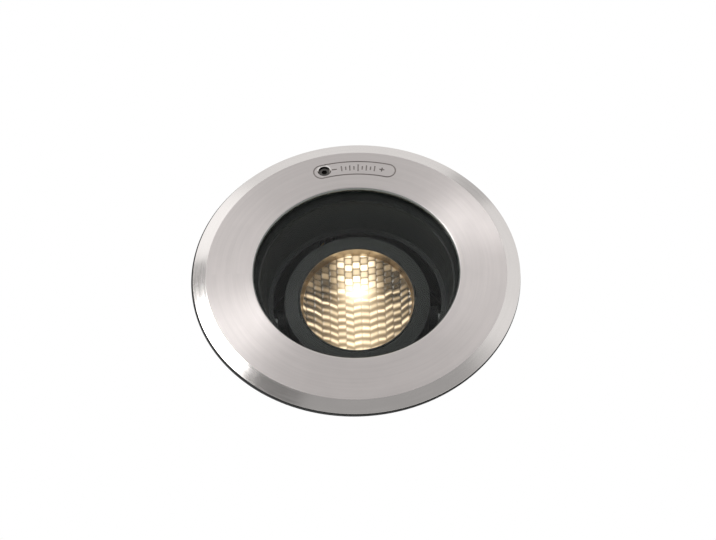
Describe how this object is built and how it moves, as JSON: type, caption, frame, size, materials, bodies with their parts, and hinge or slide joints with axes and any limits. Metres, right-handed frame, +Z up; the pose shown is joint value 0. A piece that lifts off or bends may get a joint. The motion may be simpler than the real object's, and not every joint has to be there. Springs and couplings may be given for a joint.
{
  "type": "in-ground well light",
  "caption": "Round recessed ground light: bevelled stainless trim, flush glass, black well and a tilting faceted lamp in a buried sleeve, aimed by a screw under a key hole.",
  "frame": {"origin": "the ring's axis at ground level, on the underside of the sleeve's flange", "axes": "+Z up, out of the ground; -Y toward the viewer of the picture; the lamp's tilt axis lies along X"},
  "size_m": [0.185, 0.185, 0.1862],
  "materials": {
    "stainless_trim": "circular brushed 316 stainless, satin",
    "steel_fixings": "plain A4 stainless",
    "spring_steel": "rolled spring strip",
    "frame_steel": "zinc-plated pressing",
    "sleeve_plastic": "moulded, fine texture",
    "plug_plastic": "moulded, matt",
    "gland_plastic": "moulded nylon, satin",
    "vent_plastic": "moulded, matt",
    "gasket_rubber": "black silicone, matt",
    "seal_rubber": "moulded EPDM, matt",
    "window_glass": "clear tempered soda-lime, green edge",
    "black_coat": "black polyester powder coat, fine satin",
    "liner_coat": "black satin anti-glare coat",
    "glare_coat": "dark grey satin coat",
    "reflector_metal": "vacuum-metallised, faceted, bright",
    "lens_resin": "clear moulded resin, pillowed, lit from below",
    "holder_plastic": "white, semi-gloss",
    "board_metal": "white solder mask on aluminium",
    "pad_rubber": "grey gap pad",
    "sink_metal": "die-cast, bead blasted",
    "bronze": "sintered bronze, dull",
    "brass": "turned, bright",
    "driver_plastic": "moulded, potted",
    "terminal_plastic": "moulded, semi-gloss",
    "lead_sheath": "black silicone sheath",
    "oring_rubber": "black nitrile",
    "phosphor": "warm-white phosphor, lit"
  },
  "bodies": {
    "sleeve": {"mounting_sleeve": "sleeve_plastic", "blanking_plug": "plug_plastic"},
    "seat_ring": {"seat_gasket": "gasket_rubber"},
    "luminaire": {"trim_ring": "stainless_trim", "trim_studs": "steel_fixings", "stud_nuts": "steel_fixings", "glass_gasket_top": "gasket_rubber", "cover_glass": "window_glass", "glass_gasket_bottom": "gasket_rubber", "well_liner": "liner_coat", "housing": "black_coat", "gimbal_frame": "frame_steel", "frame_screws": "steel_fixings", "trunnion_bushes": "bronze", "spindle_bush": "brass", "spindle_orings": "oring_rubber", "foot_bearing": "bronze", "led_driver": "driver_plastic", "driver_screws": "steel_fixings", "terminal_block": "terminal_plastic", "mains_lead": "lead_sheath", "led_lead_fixed": "lead_sheath", "gland_body": "gland_plastic", "gland_locknut": "gland_plastic", "gland_seal": "seal_rubber", "gland_nut": "gland_plastic", "vent_plug": "vent_plastic", "spring_clips": "spring_steel", "clip_screws": "steel_fixings"},
    "lamp_head": {"lamp_cup": "black_coat", "glare_ring": "glare_coat", "reflector": "reflector_metal", "beam_lens": "lens_resin", "led_holder": "holder_plastic", "led_board": "board_metal", "phosphor_disc": "phosphor", "thermal_pad": "pad_rubber", "heat_sink": "sink_metal", "heat_sink_screws": "steel_fixings", "trunnion_pins": "steel_fixings", "trunnion_clips": "spring_steel", "tilt_fork": "frame_steel", "fork_screws": "steel_fixings", "led_lead_head": "lead_sheath"},
    "adjuster": {"adjuster_spindle": "steel_fixings", "spindle_collar": "steel_fixings"},
    "travel_nut": {"travel_nut": "brass"}
  },
  "joints": [
    {"name": "lift_out", "type": "slide", "parent": "sleeve", "child": "seat_ring", "axis": [0, 0, 1], "range_m": [0, 0.16]},
    {"name": "aim_turn", "type": "hinge", "parent": "seat_ring", "child": "luminaire", "pos_m": [0, 0, 0], "axis": [0, 0, 1], "continuous": true},
    {"name": "head_tilt", "type": "hinge", "parent": "luminaire", "child": "lamp_head", "pos_m": [0, 0, -0.05], "axis": [1, 0, 0], "range_deg": [-21, 9]},
    {"name": "adjuster_turn", "type": "hinge", "parent": "luminaire", "child": "adjuster", "pos_m": [-0.01686, 0.07216, 0], "axis": [0, 0, 1], "range_deg": [-1384, 3226]},
    {"name": "nut_travel", "type": "slide", "parent": "luminaire", "child": "travel_nut", "axis": [0, 0, 1], "range_m": [-0.027, 0.0117]}
  ],
  "couplings": [
    {"joint": "nut_travel", "follows": "head_tilt", "m_per_rad": 0.0733},
    {"joint": "adjuster_turn", "follows": "head_tilt", "ratio": -153.5}
  ]
}
